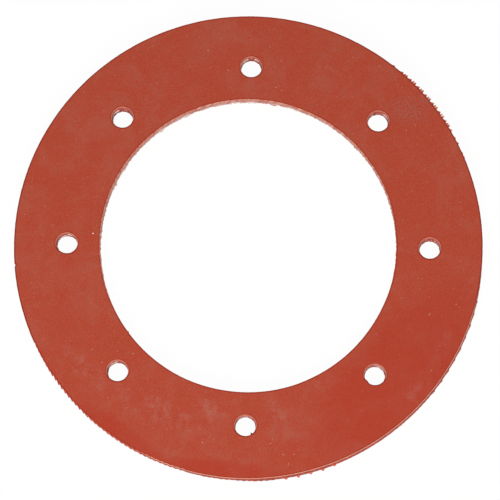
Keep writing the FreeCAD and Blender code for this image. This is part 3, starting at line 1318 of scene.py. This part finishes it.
        # Dust: a speck in the middle of some cells, and then the single marks of BLEMISH_GROUPS.
        cells = add_node(tree, "ShaderNodeTexVoronoi", {
            "Vector": place, "Scale": per_mm(self.dust_spacing)}, voronoi_dimensions="2D")
        near = add_node(tree, "ShaderNodeMapRange", {
            "Value": cells.outputs["Distance"], "From Min": 0.03, "From Max": 0.09,
            "To Min": 1.0, "To Max": 0.0})
        chosen = add_node(tree, "ShaderNodeMapRange", {
            "Value": cells.outputs["Color"], "From Min": 0.55, "From Max": 0.9, "To Max": 0.25})
        dust = add_node(tree, "ShaderNodeMath", {
            0: near.outputs["Result"], 1: chosen.outputs["Result"]}, operation="MULTIPLY")
        colour = self.blend(tree, dust.outputs["Value"], colour, self.dust_colour)
        for group in BLEMISH_GROUPS:
            colour = self.blend(tree, self.group_share(tree, place, group), colour, group.colour)
        # Gloss and bump of one grain.
        grain = add_node(tree, "ShaderNodeTexNoise", {
            "Vector": place, "Scale": per_mm(self.gloss_size), "Detail": 2.0})
        gloss = add_node(tree, "ShaderNodeMapRange", {
            "Value": grain.outputs["Fac"], "To Min": self.roughness - 0.08, "To Max": self.roughness + 0.08})
        bump = add_node(tree, "ShaderNodeBump", {
            "Height": grain.outputs["Fac"], "Strength": 0.12, "Distance": 0.05 * MM})
        tree.links.new(colour, shader.inputs["Base Color"])
        tree.links.new(gloss.outputs["Result"], shader.inputs["Roughness"])
        tree.links.new(bump.outputs["Normal"], shader.inputs["Normal"])


@dataclass(frozen=True)
class TornWall(Finish):
    """A cut through silicone rubber: matt, with leaning streaks where the blade dragged, paler where it tore.

    Attributes:
        dark_colour: where the vertex layer of torn streaks and painted light is lowest: dark streaks and
            painted shade.
        streak_colour: where it is highest: torn streaks, wear and painted highlights.
        streak_size: across one fine streak, drawn coarser than the real ones, which are too fine to show.
        grain: how much the fine streaks change the tone.
        stretch: width of a fine streak against its length.
    """

    dark_colour: str
    streak_colour: str
    streak_size: float
    grain: float = 0.5
    stretch: float = 0.2

    def dress(self, tree: NodeTree, shader: Node) -> None:
        """See Finish."""
        tear_and_painted_light = add_node(tree, "ShaderNodeAttribute", attribute_name="tear_and_painted_light")
        place = add_node(tree, "ShaderNodeUVMap", uv_map="wall")
        stretched = add_node(tree, "ShaderNodeMapping", {
            "Vector": place.outputs["UV"], "Scale": (1.0, self.stretch, 1.0)})
        fine = add_node(tree, "ShaderNodeTexNoise", {
            "Vector": stretched.outputs["Vector"], "Scale": per_mm(self.streak_size), "Detail": 3.0})
        mixed = add_node(tree, "ShaderNodeMath", {
            0: fine.outputs["Fac"], 1: self.grain, 2: tear_and_painted_light.outputs["Fac"]}, operation="MULTIPLY_ADD")
        middle = 0.5 * self.grain
        lit = add_node(tree, "ShaderNodeMapRange", {
            "Value": mixed.outputs["Value"], "From Min": middle + DARK_TONE, "From Max": middle + PLAIN_TONE})
        colour = add_node(tree, "ShaderNodeMix", {
            MIX_FACTOR: lit.outputs["Result"], MIX_A: srgb(self.dark_colour), MIX_B: srgb(self.colour),
        }, data_type="RGBA")
        torn = add_node(tree, "ShaderNodeMapRange", {
            "Value": mixed.outputs["Value"], "From Min": middle + PLAIN_TONE, "From Max": middle + PALE_TONE})
        colour = add_node(tree, "ShaderNodeMix", {
            MIX_FACTOR: torn.outputs["Result"], MIX_A: colour.outputs[MIX_RESULT],
            MIX_B: srgb(self.streak_colour),
        }, data_type="RGBA")
        bump = add_node(tree, "ShaderNodeBump", {
            "Height": fine.outputs["Fac"], "Strength": 0.35, "Distance": 0.1 * MM})
        tree.links.new(colour.outputs[MIX_RESULT], shader.inputs["Base Color"])
        tree.links.new(bump.outputs["Normal"], shader.inputs["Normal"])
        shader.inputs["Roughness"].default_value = self.roughness


FINISHES: dict[Surface, Finish] = {
    # Flat and even: a satin red under thin greyish clouds.
    Surface.PRESSED_FACE: PressedFace(
        "silicone_pressed_face", "B4391D", 0.5, 0.3, "B44B36", "AC7C6C", "DDA898", "E2F6F6"),
    # Sawn by the toothed cutter: matt deep red, with faint streaks.
    Surface.RIM_WALL: TornWall("silicone_rim_cut", "A23A24", 0.6, 0.1, "7E2814", "CA705A", 0.5),
    # Dragged and torn all round: greyish pink, partly the torn rubber and partly a painted sheen that stands
    # for the white it mirrors at a slant.
    Surface.BORE_WALL: TornWall("silicone_bore_cut", "AC6C5C", 0.6, 0.15, "964A3A", "D4C0BA", 0.4),
    # Punched: red and even where it sheared, nearly white in the ridge, partly where it tore and partly as a
    # painted glint.
    Surface.HOLE_WALL: TornWall("silicone_hole_cut", "B04634", 0.6, 0.15, "863020", "F4E4DC", 0.4),
    # Between a face and a cut: plain red where it is crisp, dark as painted shade on some stretches, beige
    # pink where it is rubbed round, partly from wear and partly as a painted highlight.
    Surface.WORN_ARRIS: TornWall("silicone_edge_wear_and_painted_light", "A83620", 0.5, 0.15, "6E1E12", "E0B29C", 0.6, 0.2),
    # Half torn off: orange red, with a pale middle, partly stretched rubber and partly a painted highlight.
    Surface.TORN_CRUMB: TornWall("silicone_crumb", "C8563E", 0.6, 0.2, "9A3624", "FADCC8", 0.5),
}


@dataclass
class Studio:
    """A pale floor under a plain soft light, seen by a camera nearly straight above.

    Attributes:
        floor_radius: of the floor, in metres.
        floor_colour: of its paint.
        floor_white: how much of the floor that the camera sees is plain white.
        floor_gap: from the gasket down to the floor, in metres.
        sky: strength of the even light from all round.
        key_power: of the large lamp towards -Y, in watts.
        key_place: of that lamp, in metres.
        key_size: of that lamp, in metres.
        camera_place: in metres.
        camera_turn: XYZ angles in radians.
        lens: in millimetres.
    """

    floor_radius: float = 12.0
    floor_colour: str = "F4F3F1"
    floor_white: float = 0.97
    floor_gap: float = 0.02 * MM
    sky: float = 0.52
    key_power: float = 10.5
    key_place: tuple[float, float, float] = (-0.1, -0.85, 0.75)
    key_size: float = 0.5
    camera_place: tuple[float, float, float] = (0.01634, -0.30580, 1.84927)
    camera_turn: tuple[float, float, float] = (0.1637, 0.0059, 0.0160)
    lens: float = 407.3

    def seen_share(self, tree: NodeTree, share: float) -> NodeSocket:
        """Tells the rays that show the background as it is from those that light the scene.

        Args:
            tree: takes the nodes.
            share: the value for the rays that show it.

        Returns:
            The output with that value, or 0 for the others.
        """
        path = add_node(tree, "ShaderNodeLightPath")
        seen = path.outputs["Is Camera Ray"]
        for ray in ("Is Glossy Ray", "Is Transmission Ray"):
            seen = add_node(tree, "ShaderNodeMath", {0: seen, 1: path.outputs[ray]}, operation="MAXIMUM")
            seen = seen.outputs["Value"]
        return add_node(tree, "ShaderNodeMath", {0: seen, 1: share}, operation="MULTIPLY").outputs["Value"]

    def floor(self) -> Object:
        """Lays the floor, matt white, which keeps a faint shadow of the gasket.

        Returns:
            The floor.
        """
        paint = bpy.data.materials.new("floor_paint")
        tree = empty_tree(paint)
        matt = add_node(tree, "ShaderNodeBsdfDiffuse", {"Color": srgb(self.floor_colour)})
        white = add_node(tree, "ShaderNodeEmission", {"Color": WHITE, "Strength": 1.0})
        mixed = add_node(tree, "ShaderNodeMixShader", {
            0: self.seen_share(tree, self.floor_white), 1: matt.outputs["BSDF"],
            2: white.outputs["Emission"]})
        add_node(tree, "ShaderNodeOutputMaterial", {"Surface": mixed.outputs["Shader"]})
        mesh = bmesh.new()
        bmesh.ops.create_circle(mesh, cap_ends=True, radius=self.floor_radius, segments=64)
        data = bpy.data.meshes.new("floor")
        mesh.to_mesh(data)
        mesh.free()
        data.materials.append(paint)
        floor = add_object("floor", data)
        floor.location.z = -self.floor_gap
        floor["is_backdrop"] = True
        return floor

    def surroundings(self) -> None:
        """Even light from all round, and plain white where the camera looks past the floor."""
        world = bpy.data.worlds.new("surroundings")
        bpy.context.scene.world = world
        tree = empty_tree(world)
        seen = self.seen_share(tree, 1.0 - self.sky)
        strength = add_node(tree, "ShaderNodeMath", {0: seen, 1: self.sky}, operation="ADD")
        back = add_node(tree, "ShaderNodeBackground", {"Color": WHITE, "Strength": strength.outputs["Value"]})
        add_node(tree, "ShaderNodeOutputWorld", {"Surface": back.outputs["Background"]})

    def key_lamp(self) -> Object:
        """Hangs one large soft lamp towards -Y, aimed at the gasket.

        Returns:
            The lamp.
        """
        lamp = bpy.data.lights.new("key_lamp", "AREA")
        lamp.shape = "SQUARE"
        lamp.size = self.key_size
        lamp.energy = self.key_power
        key = add_object("key_lamp", lamp)
        key.location = self.key_place
        key.rotation_euler = Vector(self.key_place).to_track_quat("Z", "Y").to_euler()
        return key

    def camera(self) -> Object:
        """Sets up the camera, a little towards -Y from straight above.

        Returns:
            The camera.
        """
        data = bpy.data.cameras.new("camera")
        data.lens = self.lens
        camera = add_object("camera", data)
        camera.location = self.camera_place
        camera.rotation_euler = Euler(self.camera_turn)
        bpy.context.scene.camera = camera
        return camera

    def build(self) -> None:
        """Sets up the whole stage."""
        self.floor()
        self.surroundings()
        self.key_lamp()
        self.camera()
        bpy.context.scene.view_settings.view_transform = "Standard"


def write_sizes() -> None:
    boxes = {"cad": CAD_BOX, "visual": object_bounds()}
    {name: [list(corner) for corner in box] for name, box in boxes.items()}


def main() -> None:
    """Builds the gasket and its stage, and reports each piece."""
    logging.basicConfig(level=logging.INFO, format="%(name)s: %(message)s")
    sheet = CutSheet.from_frame(frame["record"])
    piece = sheet.build(FINISHES)
    log.info("%s: %d materials", piece.name, len(piece.data.materials))
    Studio().build()
    write_sizes()


if __name__ == "__main__":
    main()
